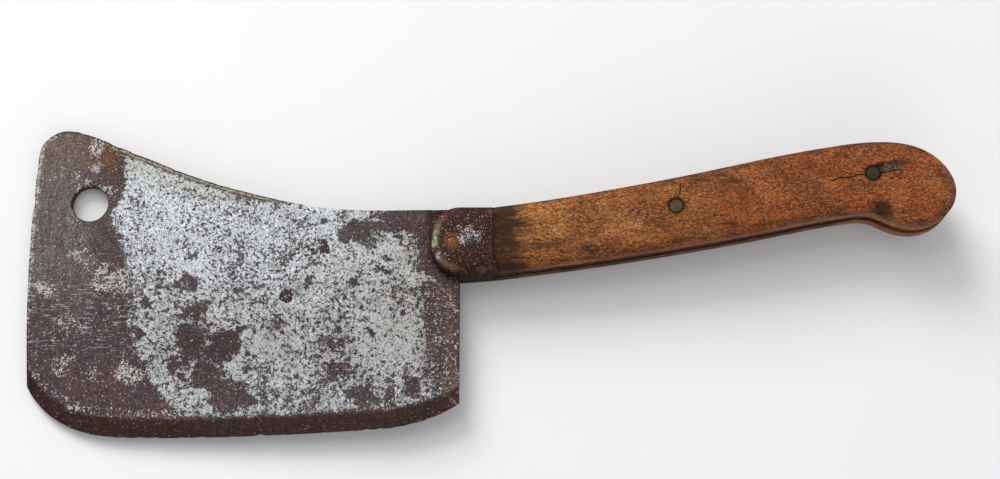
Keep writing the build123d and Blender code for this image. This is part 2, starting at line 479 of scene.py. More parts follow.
class Face:
    """Wear, painted sheen and painted shade of one face of the plate. Zones run from 0 to 1, and distances
    are in millimetres.
    """

    def __init__(self, slab, seed, on_plate):
        self.flat = np.column_stack([slab.xy, np.zeros(len(slab.xy))])
        self.seed, self.on_plate, self.depth = seed, on_plate, slab.depth
        self.x, self.y = x, y = slab.xy.T
        self.up = (y - EDGE_Y) / HEIGHT
        self.rise = smooth(y, BOLSTER_TOP + 2.0, BOLSTER_TOP + 6.0)
        self.from_rim = nearest_on(slab.xy, slab.loops[:1])[0]
        self.from_edge = y - np.interp(x, *cutting_edge(slab.loops[0]))
        self.bevel = smooth(self.from_edge, BEVEL_WIDTH + 1.0, BEVEL_WIDTH - 1.0) * on_plate
        self.warp = (self.noise(12.0, 0, 4) - 0.5) * 10.0
        self.wide_warp = (self.noise(24.0, 20, 3) - 0.5) * 18.0
        self.toe = smooth(toe_end(y) - x + self.wide_warp + 0.5 * self.warp, -4.0, 4.0)
        heel_start = HEEL_X - LENGTH * (0.04 + 0.1 * self.up)
        below_bolster = smooth(y, BOLSTER_LOW + 4.0, BOLSTER_LOW - 6.0)
        self.heel = below_bolster * smooth(x + 0.4 * self.warp - heel_start, -13.0, 12.0)
        to_corner = np.hypot(np.maximum(BOLSTER_FRONT + BOLSTER_CORNER - x, 0.0),
                             np.maximum(BOLSTER_LOW + BOLSTER_CORNER - y, 0.0))
        self.to_bolster = to_corner - BOLSTER_CORNER
        before_bolster = smooth(x + self.warp, BOLSTER_FRONT - 16.0, BOLSTER_FRONT + 1.0)
        before_bolster = before_bolster * smooth(y, BOLSTER_LOW, BOLSTER_LOW + 6.0)
        round_bolster = smooth(self.to_bolster, 9.0, 1.5) * smooth(y, BOLSTER_LOW - 8.0, BOLSTER_LOW)
        self.collar = np.maximum(round_bolster, before_bolster)
        self.patches = self.spots(rust_patches(seed + 2), 4.5, 2)
        pitted = smooth(self.noise(34.0, 4, 2), 0.42, 0.68) + 0.6 * smooth(self.up, 0.45, 0.1)
        self.base = 0.05 + 0.15 * smooth(self.noise(18.0, 3, 3), 0.35, 0.75) + 0.19 * np.minimum(pitted, 1.2)

    def noise(self, size, step, octaves=1):
        return noise(self.flat, size, self.seed + step, octaves)

    def spots(self, spots, ragged, step):
        return blobs(self.flat, spots, ragged, self.seed + step)

    def cover(self):
        """Rust: the toe, edge, heel, bolster and spine, single patches, and a thin tone everywhere."""
        ragged_edge = 0.2 * self.wide_warp + 0.3 * self.warp
        band = smooth(0.065 * HEIGHT - self.from_edge + ragged_edge, -3.2, 3.2)
        spine_crust = smooth(self.from_rim, 2.4, 1.7) * self.rise
        damp = smooth(self.x, TOE_X + 0.68 * LENGTH, TOE_X + 0.8 * LENGTH)
        damp = damp * smooth(self.y, BOLSTER_TOP - 18.0, BOLSTER_TOP - 4.0)
        spine_crust = np.maximum(spine_crust, damp * smooth(self.noise(12.0, 21, 3), 0.30, 0.62))
        return np.maximum.reduce([self.toe, band, self.heel, self.collar, self.patches, 1.0 - self.on_plate,
                                  self.base, spine_crust])

    def flecks(self):
        """Bare flecks in the rust: scattered over the toe, and along its rim, the bevel and the heel."""
        bare = scatter(self.seed + 5, 22, ((0.02, 0.06), (0.3, 0.9)), (2.0, 11.0), (0.4, 1.0))
        bare += scatter(self.seed + 6, 8, ((0.04, 0.78), (0.2, 0.98)), (2.0, 6.0), (0.6, 1.0))
        toe_rim = smooth(self.depth, 3.2, 1.0) * smooth(self.x, TOE_X + 14.0, TOE_X + 7.0)
        toe_rim = toe_rim * smooth(self.up, 0.2, 0.45)
        shoulder = smooth(np.abs(self.from_edge - 0.075 * HEIGHT), 3.5, 1.0)
        stray = (0.02 + 0.10 * self.noise(15.0, 14, 2)) * (1.0 - 0.6 * self.bevel)
        flecks = np.maximum.reduce([self.spots(bare, 4.0, 5), 0.8 * toe_rim, 0.45 * shoulder,
                                    0.4 * self.heel, stray])
        return flecks * (1.0 - 0.75 * self.collar)

    def hue(self):
        """How far the rust turns from purple over brown to orange."""
        hue = 0.10 + 0.22 * self.noise(11.0, 7, 3) + 0.14 * smooth(self.up, 0.45, 0.7) * self.toe
        bloom = scatter(self.seed + 8, 12, ((0.0, 0.05), (0.35, 0.9)), (3.0, 12.0), (0.2, 0.6))
        corner = 0.85 * self.toe * smooth(self.up + 0.01 * self.warp, 0.76, 0.92)
        hue = np.maximum.reduce([hue, self.spots(bloom, 3.0, 8), corner])
        return hue + 0.15 * self.bevel + 0.18 * np.maximum(self.heel, self.collar) * (1.0 - self.bevel)

    def sheen_and_ash(self):
        """Painted sheen: paler, bluish steel in the upper middle and low over the edge; and an ash-grey film
        on the toe's rust.
        """
        clouds = 0.55 + 0.45 * smooth(self.noise(40.0, 9, 2), 0.3, 0.7)
        sheen_and_ash = smooth(self.up, 0.3, 0.6) * smooth(self.x, HEEL_X - 0.12 * LENGTH, HEEL_X - 0.35 * LENGTH)
        sheen_and_ash = sheen_and_ash * clouds * (1.0 - self.toe)
        sheen_and_ash = np.maximum(sheen_and_ash, 0.4 * smooth(self.up, 0.25, 0.15) * (1.0 - self.toe))
        grey_toe = smooth(self.x, TOE_X + 0.2 * LENGTH, TOE_X + 0.08 * LENGTH) * smooth(self.up, 0.3, 0.5)
        return np.maximum(sheen_and_ash, grey_toe * self.toe * smooth(self.noise(30.0, 13, 2), 0.25, 0.6))

    def dark(self):
        """Darker on the bevel and along the rim, and painted shade on the tang between the scales and beside
        the bolster.
        """
        spine = self.rise * smooth(self.x, TOE_X + 0.6 * LENGTH, TOE_X + 0.55 * LENGTH)
        rim = np.maximum(smooth(self.depth, 0.8, 0.2), smooth(self.from_rim, 1.0, 0.7) * spine)
        # painted shade where the blade meets the bolster
        joint_shade = 0.8 * smooth(self.to_bolster, 3.5, 0.3)
        # painted shade on the tang, which sits in the slot between the scales
        return np.maximum.reduce([0.92 * self.bevel, joint_shade, 0.9 * (1.0 - self.on_plate), 0.9 * rim,
                                  0.42 * self.patches * (1.0 - self.toe), 0.25 * self.base])

    def fields(self):
        """What the face shows: rust and its colour, bare flecks, scratches, stain, a pale worn lip along the
        spine with a painted highlight, painted sheen and shade, and relief.
        """
        cover = self.cover()
        # pale line near the spine: worn metal, partly a painted highlight on the rounded edge
        burr_and_highlight = smooth(self.from_rim, 2.1, 1.6) * smooth(self.from_rim, 0.6, 0.9) * self.rise
        burr_and_highlight = burr_and_highlight * smooth(self.y, SPINE_Y - 4.0, SPINE_Y - 10.0)
        scratch = self.toe * smooth(self.up, 0.6, 0.45) * smooth(self.up, 0.2, 0.35)
        yellowed = scatter(self.seed + 9, 6, ((0.6, 0.3), (0.95, 0.6)), (8.0, 16.0), (0.3, 0.8))
        stain = np.maximum(self.spots(yellowed, 4.0, 9), 0.8 * smooth(self.from_rim, 16.0, 5.0) * self.rise)
        waves = (self.noise(38.0, 10, 2) - 0.5) * 0.28
        pits = smooth(self.noise(2.6, 11, 2), 0.62, 0.8) * -0.14 * (0.3 + cover)
        crust = smooth(cover, 0.4, 0.6) * ((self.noise(1.9, 12, 2) - 0.5) * 0.16 + 0.03)
        return {"cover": cover, "fleck": self.flecks(), "scratch": scratch, "hue": self.hue(),
                "sheen_and_ash": self.sheen_and_ash(), "dark": self.dark(), "stain": stain, "bevel": self.bevel,
                "burr_and_highlight": burr_and_highlight, "relief": (waves + pits + crust) * self.on_plate}


def wall_fields(walls):
    """What the rim of the plate and the edges of the tang show, with painted shade on the tang's edges
    between the scales.
    """
    even = {"cover": 0.97, "fleck": 0.06, "scratch": 0.0, "stain": 0.0, "bevel": 1.0, "burr_and_highlight": 0.0,
            "sheen_and_ash": 0.05}
    wall = {key: np.full(len(walls), value) for key, value in even.items()}
    wall["hue"] = 0.35 + 0.3 * noise(walls, 9.0, 72, 2)
    # painted shade: the tang's edges, in the gap between the scales, are fully dark
    wall["dark"] = 0.50 + 0.5 * smooth(walls[:, 0], HEEL_X - 1.0, HEEL_X + 1.0)
    return wall


def make_blade(material):
    extra = [fine_patch(STAMP[:2], 11.5, 0.42), fine_patch(RING[:2], 5.2, 0.38)]
    slab = Slab("blade", 0.95, (0.16, 0.45, 0.85, 1.35, 2.0), extra, worn_outline)
    on_plate = smooth(slab.xy[:, 0], HEEL_X + 1.0, HEEL_X - 1.0)
    upper, lower = (Face(slab, seed, on_plate).fields() for seed in (40, 60))
    pressed = stamp_field(np.column_stack([slab.xy, np.zeros(len(slab.xy))]))
    upper["cover"] = np.maximum(upper["cover"], 0.98 * smooth(pressed, 0.15, 0.7))
    upper["dark"] = np.maximum(upper["dark"], 0.75 * smooth(pressed, 0.2, 0.8))
    upper["relief"] = upper["relief"] - 0.22 * pressed
    thickness = slab.top - slab.bottom
    round_off = np.minimum(0.45, 0.3 * thickness)
    inset = np.clip(1.0 - slab.depth / np.maximum(round_off, 1e-6), 0.0, 1.0)
    rounding = round_off * (1.0 - np.sqrt(1.0 - inset ** 2)) * (0.35 + 0.65 * on_plate)
    thin = np.minimum(1.0, thickness / 2.0)
    proud = 0.25
    top = np.minimum(slab.top - rounding + upper["relief"] * thin, slab.top + proud)
    bottom = np.maximum(slab.bottom + rounding - lower["relief"] * thin, slab.bottom - proud)
    piece = slab.build("blade_forging", top, bottom, even_wall(4), 50.0)
    wall = wall_fields(slab.points[2 * len(slab.xy):])
    full = {key: np.concatenate([upper[key], lower[key], wall[key]]) for key in wall}
    paint(piece, "wear", full["cover"], full["fleck"], full["scratch"])
    paint(piece, "tint", full["hue"], full["sheen_and_ash"], full["dark"])
    paint(piece, "film", full["stain"], full["bevel"], full["burr_and_highlight"])
    return settle(piece, "blade", material)


# ---------------------------------------------------------------- bolster cheeks and pins

def iron_fields(piece, points):
    """Wear, painted highlights and painted shade of the bolster and of the pin ends in it, by distance to the
    pins and the rim.
    """
    p = points
    outside = smooth(np.abs(p[:, 2] - MID_Z), 7.0, 8.5)
    pins = (centre_of("bolster_pin_front"), centre_of("bolster_pin_rear"))
    to_front, to_rear = (np.hypot(p[:, 0] - x, p[:, 1] - y) for x, y in pins)
    ragged = (noise(p, 4.0, 84, 3) - 0.5) * 4.0
    inner = np.clip(p[:, 1], BOLSTER_LOW + BOLSTER_CORNER, BOLSTER_TOP - BOLSTER_CORNER)
    across = np.hypot(np.maximum(BOLSTER_FRONT + BOLSTER_CORNER - p[:, 0], 0.0), p[:, 1] - inner)
    crest = smooth(np.abs(across + 0.4 * ragged - 11.6), 2.2, 0.6)
    at_front = smooth(p[:, 0], BOLSTER_FRONT + 7.0, BOLSTER_FRONT + 3.0)
    at_front = at_front * smooth(p[:, 1], BOLSTER_TOP - 6.0, BOLSTER_TOP - 14.0)
    # painted highlight on the rounded front rim, over some wear
    rim_highlight_and_wear = 0.85 * crest * at_front * smooth(noise(p, 4.0, 86, 2), 0.2, 0.6)
    orange = smooth(to_front + ragged, 5.0, 2.0)
    grey = 0.8 * smooth(to_rear + ragged, 5.0, 2.5)
    clumps = smooth(noise(p, 3.6, 87, 2), 0.46, 0.66) * smooth(to_front, 2.4, 4.2)
    # painted glints: bare flecks round the pins, painted as bright reflections
    glint = np.maximum(0.10, 1.1 * clumps * smooth(np.minimum(to_front, to_rear) + ragged, 9.0, 4.0))
    tan = 0.8 * crest * (1.0 - at_front) * smooth(noise(p, 7.0, 88, 3), 0.38, 0.62)
    joint = smooth(p[:, 0] - joint_at(p[:, 1]), -1.1, -0.5)
    # painted shade on the lower facet, on the rounded outer rim and on the inner half next to the blade
    lower_facet_shade = smooth(p[:, 1], BOLSTER_LOW + 6.0, BOLSTER_LOW + 4.0) * 0.55
    rim = smooth(across, 12.8, 14.0)
    dark = np.maximum.reduce([joint, lower_facet_shade, 0.8 * rim, 1.0 - outside])
    paint(piece, "wear", rim_highlight_and_wear * outside, orange * outside, grey * outside)
    paint(piece, "tint", glint * outside, tan * outside, dark - 0.45 * tan * (dark < 0.6) * outside)


def joint_at(y):
    """X of the joint between bolster and wood: straight above the bend, swept back below it."""
    bend, foot_y, sweep = 16.5, 2.9, 2.7
    return JOINT_X + sweep * (np.clip(bend - y, 0.0, None) / (bend - foot_y)) ** 2


def make_bolster(node, side, material):
    slab = Slab(node, 0.75, (0.12, 0.4, 0.85, 1.5, 2.3, 3.2, 4.2))
    outer = slab.top if side > 0 else slab.bottom
    flat = np.column_stack([slab.xy, np.full(len(slab.xy), 50.0 * side)])
    outline = slab.loops[0]
    free = outline[outline[:, 0] < joint_at(outline[:, 1]) - 0.5]
    offset = slab.xy[:, None] - free[None]
    to_rim = np.min(np.hypot(offset[..., 0], offset[..., 1]), axis=1)
    crown = 1.5 * (1.0 - smooth(to_rim, 1.0, 9.5)) * smooth(to_rim, 0.0, 2.5)
    dents = noise(flat, 9.0, 81, 2) * 0.35 + noise(flat, 2.4, 82, 2) * 0.22
    sunk = smooth(noise(flat, 5.0, 83, 2), 0.5, 0.8) * 0.25
    joint_bevel = 0.35 * smooth(slab.xy[:, 0] - joint_at(slab.xy[:, 1]), -0.8, 0.0)
    ease = smooth(slab.depth, 0.0, 0.6)
    relief = crown + (dents + sunk) * ease + joint_bevel
    worn = outer - side * relief
    top, bottom = (worn, slab.bottom) if side > 0 else (slab.top, worn)
    piece = slab.build(f"{node}_cheek", top, bottom, even_wall(5), 60.0)
    iron_fields(piece, slab.points)
    return settle(piece, node, material)


def lathe(profile, centre, turns=48):
    """Solid turned about a vertical axis, from (radius, z) pairs that start and end on the axis."""
    cx, cy = centre
    points, faces, rings = [], [], []
    for radius, z in profile:
        count = turns if radius > 1e-6 else 1
        rings.append(range(len(points), len(points) + count))
        angles = [2.0 * math.pi * i / turns for i in range(count)]
        points += [(cx + radius * math.cos(a), cy + radius * math.sin(a), z) for a in angles]
    for lower, upper in zip(rings, rings[1:]):
        for i in range(turns):
            j = (i + 1) % turns
            corners = [(lower, i), (lower, j), (upper, j), (upper, i)]
            faces.append(tuple(dict.fromkeys(ring[k % len(ring)] for ring, k in corners)))
    return np.array(points), faces


def hammered_disc(radius, z, facing, dome=0.12, lip=0.12, steps=9):
    """Profile of a peened end: a low dome with an eased lip, from the axis out to the side."""
    radii = [radius * i / steps for i in range(steps + 1)]
    rows = [(r, z - facing * (dome * (r / radius) ** 2)) for r in radii]
    rows[-1] = (radius - lip, rows[-1][1])
    return rows + [(radius, z - facing * (dome + lip))]


def centre_of(node):
    low, high = in_mm(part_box(node))
    return tuple((low + high)[:2] / 2)


def turned_piece(name, profile, node, seed, sharp_angle):
    """A piece turned on its node's axis, with small hammer marks on both ends, always into the metal."""
    low, high = in_mm(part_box(node))
    points, faces = lathe(profile, centre_of(node))
    top_end = smooth(points[:, 2], high[2] - 0.7, high[2] - 0.5)
    low_end = smooth(points[:, 2], low[2] + 0.7, low[2] + 0.5)
    points[:, 2] += noise(points, 1.3, seed) * 0.16 * (low_end - top_end)
    return mesh_object(name, points, faces, sharp_angle), points


def make_pin(node, seed, material):
    """A peened pin, a little slimmer than its hole and sunk to meet the worn cheeks."""
    low, high = in_mm(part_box(node))
    radius, sink = (high[0] - low[0]) / 2 - 0.03, 0.42
    profile = hammered_disc(radius, low[2] + sink, -1) + hammered_disc(radius, high[2] - sink, 1)[::-1]
    piece, points = turned_piece(f"{node}_peened", profile, node, seed, 55.0)
    iron_fields(piece, points)
    return settle(piece, node, material)


def make_rivet(node, seed, material):
    """Half a cutler's rivet: the head in its counterbore, and the tube or the stepped shank behind it."""
    low, high = in_mm(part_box(node))
    head = (high[0] - low[0]) / 2 - 0.28
    head_height, tube, core, split, bore_depth = 1.5, 2.36, 1.58, 8.0, 5.7
    if node.endswith("sleeve"):
        under, bore_end = high[2] - head_height, high[2] - bore_depth
        profile = [(0.0, bore_end), (core, bore_end), (core, low[2]), (tube, low[2]), (tube, under)]
        profile += [(head, under)] + hammered_disc(head, high[2], 1, 0.10, 0.14)[::-1]
    else:
        over = low[2] + head_height
        profile = hammered_disc(head, low[2], -1, 0.10, 0.14) + [(head, over), (tube, over), (tube, split)]
        profile += [(core, split), (core, high[2]), (0.0, high[2])]
    piece, points = turned_piece(f"{node}_half", profile, node, seed, 40.0)
    tone = (0.75 if "front" in node else 0.2) + 0.5 * (noise(points, 2.0, seed + 1, 2) - 0.5)
    paint(piece, "wear", tone, noise(points, 0.7, seed + 2))
    return settle(piece, node, material)


# ---------------------------------------------------------------- wooden scales

RIVETS = FRONT_RIVET, REAR_RIVET = centre_of("rivet_front_sleeve"), centre_of("rivet_rear_sleeve")


def above_midline(points):
    """Height over the line through both rivets, which runs along the middle of the handle."""
    slope = (REAR_RIVET[1] - FRONT_RIVET[1]) / (REAR_RIVET[0] - FRONT_RIVET[0])
    return points[:, 1] - FRONT_RIVET[1] - (points[:, 0] - FRONT_RIVET[0]) * slope


def by_rivet(rivet, right, up, *shape):
    """A spot beside a rivet, this far to the right of it and above it."""
    return (rivet[0] + right, rivet[1] + up, *shape)


# Broken-out wood behind the rear rivet, and painted shade beside the rivet in that hollow and in the hollow
# of the crook under it
CHIP = by_rivet(REAR_RIVET, 8.0, 3.0, 9.0, 2.6, 10.0, 1.0)
RIVET_SHADE_SPOTS = [by_rivet(REAR_RIVET, 2.0, 3.0, 3.5, 2.0, 25.0, 1.0),
        by_rivet(REAR_RIVET, 4.0, -17.0, 5.0, 3.5, -35.0, 1.0)]


def crack(rivet, angle, length):
    """Points of a slightly wavy crack that leaves a rivet head at an angle in degrees."""
    away = np.arange(3.6, 3.6 + length, 1.5)
    sway = 0.35 * np.sin(0.7 * away)
    return np.column_stack(rotated(away, sway, -angle)) + rivet


CRACKS = [crack(REAR_RIVET, 190.0, 18.0), crack(REAR_RIVET, 6.0, 12.0), crack(FRONT_RIVET, 75.0, 8.0)]


def rivet_rings():
    """Extra points round each rivet so that its counterbore has a crisp wall."""
    rings = []
    for cx, cy in RIVETS:
        for radius, count in ((2.9, 28), (3.33, 40), (3.46, 40), (3.7, 40), (4.1, 40), (4.6, 36)):
            angles = np.arange(count) * 2.0 * math.pi / count + radius
            rings.append(np.column_stack([cx + radius * np.cos(angles), cy + radius * np.sin(angles)]))
    return rings


def crack_points(path, spacing=0.35):
    """Points along a crack and on both sides of it."""
    line = places_along(path, np.arange(0.0, travelled(path)[-1], spacing))
    direction = np.gradient(line, axis=0)
    direction /= np.linalg.norm(direction, axis=1)[:, None]
    side = np.column_stack([-direction[:, 1], direction[:, 0]])
    return np.vstack([line + side * offset for offset in (-0.5, -0.2, 0.0, 0.2, 0.5)])


def distance_to_path(points, path):
    return np.min([np.linalg.norm(offset_from(points, a, b), axis=1) for a, b in zip(path, path[1:])], axis=0)


def chip_depth(flat):
    """0 outside the broken-out patch, rising to 1 a little way inside it."""
    return smooth(blobs(flat, [CHIP], 1.2, 99), 0.45, 0.7)


def scale_damage(slab, side):
    """Broken-out wood and cracks, which only the left scale has, the dark ring beside the rivets, and painted
    shade in the hollows by the rear rivet.
    """
    flat = np.column_stack([slab.xy, np.full(len(slab.xy), 30.0 * side)])
    to_rivet = np.min([np.hypot(slab.xy[:, 0] - cx, slab.xy[:, 1] - cy) for cx, cy in RIVETS], axis=0)
    on_wood = smooth(to_rivet, 3.36, 3.42)
    rivet_ring_and_shade = smooth(to_rivet, 5.0, 3.7)
    chip, lines = np.zeros(len(flat)), np.zeros(len(flat))
    if side > 0:
        chip = chip_depth(flat) * on_wood
        to_crack = np.min([distance_to_path(slab.xy, path) for path in CRACKS], axis=0)
        lines = smooth(to_crack, 0.36, 0.04) * on_wood
        # painted shade in the broken-out hollow by the rear rivet and in the crook
        rivet_ring_and_shade = np.maximum(rivet_ring_and_shade, blobs(flat, RIVET_SHADE_SPOTS, 0.8, 102))
    return flat, on_wood, chip, lines, rivet_ring_and_shade


def scale_wear(slab, side, damage):
    """How far the outer face is worn down: crowned, dented, grained, cracked, and hollow over the crook."""
    flat, on_wood, chip, lines, _ = damage
    x, y = slab.xy.T
    outline_depth = nearest_on(slab.xy, slab.loops[:1])[0]
    crown = 0.75 * (1.0 - smooth(outline_depth, 1.0, 11.0)) + 0.04
    crook_x, crook_y = REAR_RIVET[0] + 1.0, REAR_RIVET[1] - 20.0
    notch = 1.6 * np.exp(-(((x - crook_x) / 7.0) ** 2 + ((y - crook_y) / 6.0) ** 2))
    cut = smooth(noise(flat, 6.0, 91, 2), 0.55, 0.85) * 0.25 + noise(flat, (14.0, 1.1, 5.0), 92, 2) * 0.10
    if side > 0:
        cut += 0.5 * lines + chip * (0.8 + 0.5 * noise(flat, (4.0, 0.8, 3.0), 94, 2))
    sunk = (crown + notch + cut * smooth(slab.depth, 0.0, 0.5)) * on_wood
    return sunk * smooth(outline_depth, -0.1, 1.2) + 0.35 * smooth(x - joint_at(y), 0.9, 0.0)


def edge_darkening(slab):
    """Darker along the back of the handle, and painted shade along its lower edge."""
    outline_depth = nearest_on(slab.xy, slab.loops[:1])[0]
    over_middle = above_midline(slab.xy)
    on_back = (over_middle > 6.5) * smooth(slab.xy[:, 0], JOINT_X + 35.0, JOINT_X + 110.0)
    back_edge = smooth(outline_depth, 6.0, 0.8) * on_back
    # painted shade along the lower edge of the outer face
    low_edge_shade = smooth(outline_depth, 6.0, 1.5) * (over_middle < -4.0)
    return np.maximum(0.55 * back_edge, 0.35 * low_edge_shade)


def on_outer_face(slab, side, field):
    """A field of the outer face, spread over all the points of the piece."""
    full = np.zeros(len(slab.points))
    n = len(slab.xy)
    full[slice(0, n) if side > 0 else slice(n, 2 * n)] = field
    return full


def grime(points, side, height, over_tang):
    """Dark wood: clouds, the front end and its seam, painted shade in the gap between scale and tang, and a
    darker back edge.
    """
    clouds = 0.5 * smooth(noise(points, (30.0, 10.0, 20.0), 95 if side > 0 else 96, 3), 0.50, 0.75)
    from_joint = points[:, 0] - joint_at(points[:, 1])
    streaks = noise(points, (12.0, 1.6, 5.0), 101, 3) - 0.5
    front = 1.4 * smooth(from_joint, 25.0, -2.0) + 0.55 * streaks * smooth(from_joint, 28.0, 6.0)
    seam = smooth(from_joint, 0.9, 0.4)
    parting_edge = 2.75 + 0.65 * over_tang
    # painted shade, with some grime, in the gap between scale and tang and on the far scale's inner face seen
    # through it
    parting_shade = smooth(height, parting_edge, parting_edge - 0.2) * (1.0 if side > 0 else over_tang)
    back = 0.55 * smooth(height, 12.0, 9.5) * (above_midline(points) > 6.5)
    return np.maximum.reduce([clouds, front, seam, parting_shade, back])


def worn_rim_with_highlight(points, side, height):
    """Paler, greyed wood on the rounded lower edge before the hook and round the butt: partly wear, partly
    painted light on the rounded edges.
    """
    rim_start, rim_end, low_height, amount = (-64.0, -29.0, 6.0, 1.0) if side > 0 else (-17.0, -7.0, 3.6, 1.3)
    rim = amount * smooth(points[:, 0] - REAR_RIVET[0], rim_start, rim_end) * (above_midline(points) < -4.0)
    rim = rim * smooth(height, 10.6, 9.2) * smooth(height, low_height - 2.0, low_height)
    butt = 0.8 * smooth(height, 12.1, 11.4) * smooth(height, 8.5, 9.8)
    return np.maximum(rim, butt * smooth(points[:, 0], BUTT_X - 12.0, BUTT_X - 6.0))


def paint_scale(piece, slab, side, damage):
    points = slab.points
    height = side * (points[:, 2] - MID_Z)
    over_tang = smooth(points[:, 0], REAR_RIVET[0] - 5.0, REAR_RIVET[0] - 13.0)
    dark = np.maximum(grime(points, side, height, over_tang), on_outer_face(slab, side, edge_darkening(slab)))
    # painted shade on the far scale's rounded lower edge before the hook
    if side < 0:
        before_hook = smooth(points[:, 0], REAR_RIVET[0] - 7.0, REAR_RIVET[0] - 19.0)
        below = above_midline(points) < -4.0
        dark = np.maximum(dark, 0.7 * smooth(height, 11.5, 9.5) * before_hook * below)
    warm = smooth(noise(points, 30.0, 97 if side > 0 else 98, 2), 0.30, 0.60)
    reddening = smooth(points[:, 0], FRONT_RIVET[0] + 4.0, FRONT_RIVET[0] + 29.0)
    redness = (0.25 + 0.85 * reddening) * (0.45 + 0.75 * noise(points, 16.0, 100, 3))
    _, _, chip, lines, rivet_ring_and_shade = damage
    paint(piece, "wear", dark, warm, worn_rim_with_highlight(points, side, height))
    paint(piece, "damage", *(on_outer_face(slab, side, field) for field in (chip, lines, 0.95 * rivet_ring_and_shade)))
    paint(piece, "tone", np.maximum(redness, 0.8 * smooth(height, 9.5, 7.0)))


def make_scale(node, side, material):
    extra = rivet_rings()
    if side > 0:
        extra += [crack_points(path) for path in CRACKS] + [fine_patch(CHIP[:2], 11.5, 0.45)]
    slab = Slab(node, 0.9, (0.15, 0.5, 1.0, 1.6, 2.3, 3.1, 4.0), extra)
    damage = scale_damage(slab, side)
    worn = (slab.top if side > 0 else slab.bottom) - side * scale_wear(slab, side, damage)
    top, bottom = (worn, slab.bottom) if side > 0 else (slab.top, worn)
    wall = [(share, 0.0) for share in (1 / 8, 2 / 8, 3 / 8, 4 / 8, 6 / 8)] + [(7 / 8, 0.05), (0.955, 0.22)]
    if side < 0:
        wall = [(1.0 - share, inset) for share, inset in reversed(wall)]
    piece = slab.build(f"{node}_wood", top, bottom, wall, 60.0)
    paint_scale(piece, slab, side, damage)
    return settle(piece, node, material)


# ---------------------------------------------------------------- materials

class Graph:
    """Short calls for building one material's nodes."""

    def __init__(self, name):
        self.material = bpy.data.materials.new(name)
        self.material.use_nodes = True
        self.tree = self.material.node_tree
        self.tree.nodes.clear()
        self.shader = self.new("BsdfPrincipled")
        self.new("OutputMaterial", Surface=self.shader.outputs["BSDF"])
        self.place = self.new("TexCoord").outputs["Object"]

    def put(self, socket, value):
        if isinstance(value, bpy.types.NodeSocket):
            self.tree.links.new(value, socket)
        elif isinstance(value, (tuple, list)) and len(value) == 3 and socket.type == "RGBA":
            socket.default_value = (*value, 1.0)
        else:
            socket.default_value = value

    def new(self, kind, **values):
        """A new node with these input values or links, named with _ for a space."""
        node = self.tree.nodes.new("ShaderNode" + kind)
        for name, value in values.items():
            self.put(node.inputs[name.replace("_", " ")], value)
        return node

    def calc(self, operation, a, b=0.0, clamp=False):
        node = self.new("Math")
        node.operation = operation
        node.use_clamp = clamp
        self.put(node.inputs[0], a)
        self.put(node.inputs[1], b)
        return node.outputs[0]

    def mul(self, a, b):
        return self.calc("MULTIPLY", a, b)

    def add(self, a, b):
        return self.calc("ADD", a, b)

    def sub(self, a, b):
        return self.calc("SUBTRACT", a, b)

    def most(self, a, b):
        return self.calc("MAXIMUM", a, b)

    def turned(self, degrees, factors):
        """Object coordinates turned about Z and then stretched."""
        rotation = (0.0, 0.0, math.radians(degrees))
        return self.new("Mapping", Vector=self.place, Rotation=rotation, Scale=factors).outputs[0]

    def noise(self, size_mm, detail=3.0, roughness=0.55, place=None, distortion=0.0):
        return self.new("TexNoise", Vector=place or self.place, Scale=1.0 / (size_mm * MM), Detail=detail,
                        Roughness=roughness, Distortion=distortion).outputs["Fac"]

    def spread(self, value, low, high, curve="LINEAR"):
        """Stretches low..high to 0..1, cut off at both ends."""
        node = self.new("MapRange", Value=value, From_Min=low, From_Max=high)
        node.interpolation_type = curve
        return node.outputs["Result"]

    def step(self, value, low, high):
        """An easy curve from 0 to 1 as value goes from low to high."""
        return self.spread(value, low, high, "SMOOTHSTEP")

    def speckle(self, low, size_mm, detail, roughness, *place):
        """Noise stretched so that low becomes 0, and as far over the middle becomes 1."""
        return self.spread(self.noise(size_mm, detail, roughness, *place), low, 1.0 - low)

    def mix(self, share, a, b):
        node = self.new("Mix")
        node.data_type = "RGBA"
        for socket, value in ((0, share), (6, a), (7, b)):
            self.put(node.inputs[socket], value)
        return node.outputs[2]

    def tint(self, base, field, amount, colour):
        """The base with a colour laid over it, as strong as the field times the amount."""
        return self.mix(self.mul(field, amount), base, colour)

    def fields(self, name):
        """Red, green and blue of a painted attribute."""
        source = self.new("Attribute")
        source.attribute_name = name
        return self.new("SeparateColor", Color=source.outputs["Color"]).outputs

    def bump(self, height, distance_mm, strength=1.0):
        return self.new("Bump", Strength=strength, Distance=distance_mm * MM, Height=height).outputs["Normal"]

    def finish(self, colour, roughness, metallic=0.0, normal=None, **fixed):
        self.put(self.shader.inputs["Base Color"], colour)
        self.put(self.shader.inputs["Roughness"], roughness)
        self.put(self.shader.inputs["Metallic"], metallic)
        if normal is not None:
            self.put(self.shader.inputs["Normal"], normal)
        for name, value in fixed.items():
            self.shader.inputs[name.replace("_", " ")].default_value = value
        return self.material


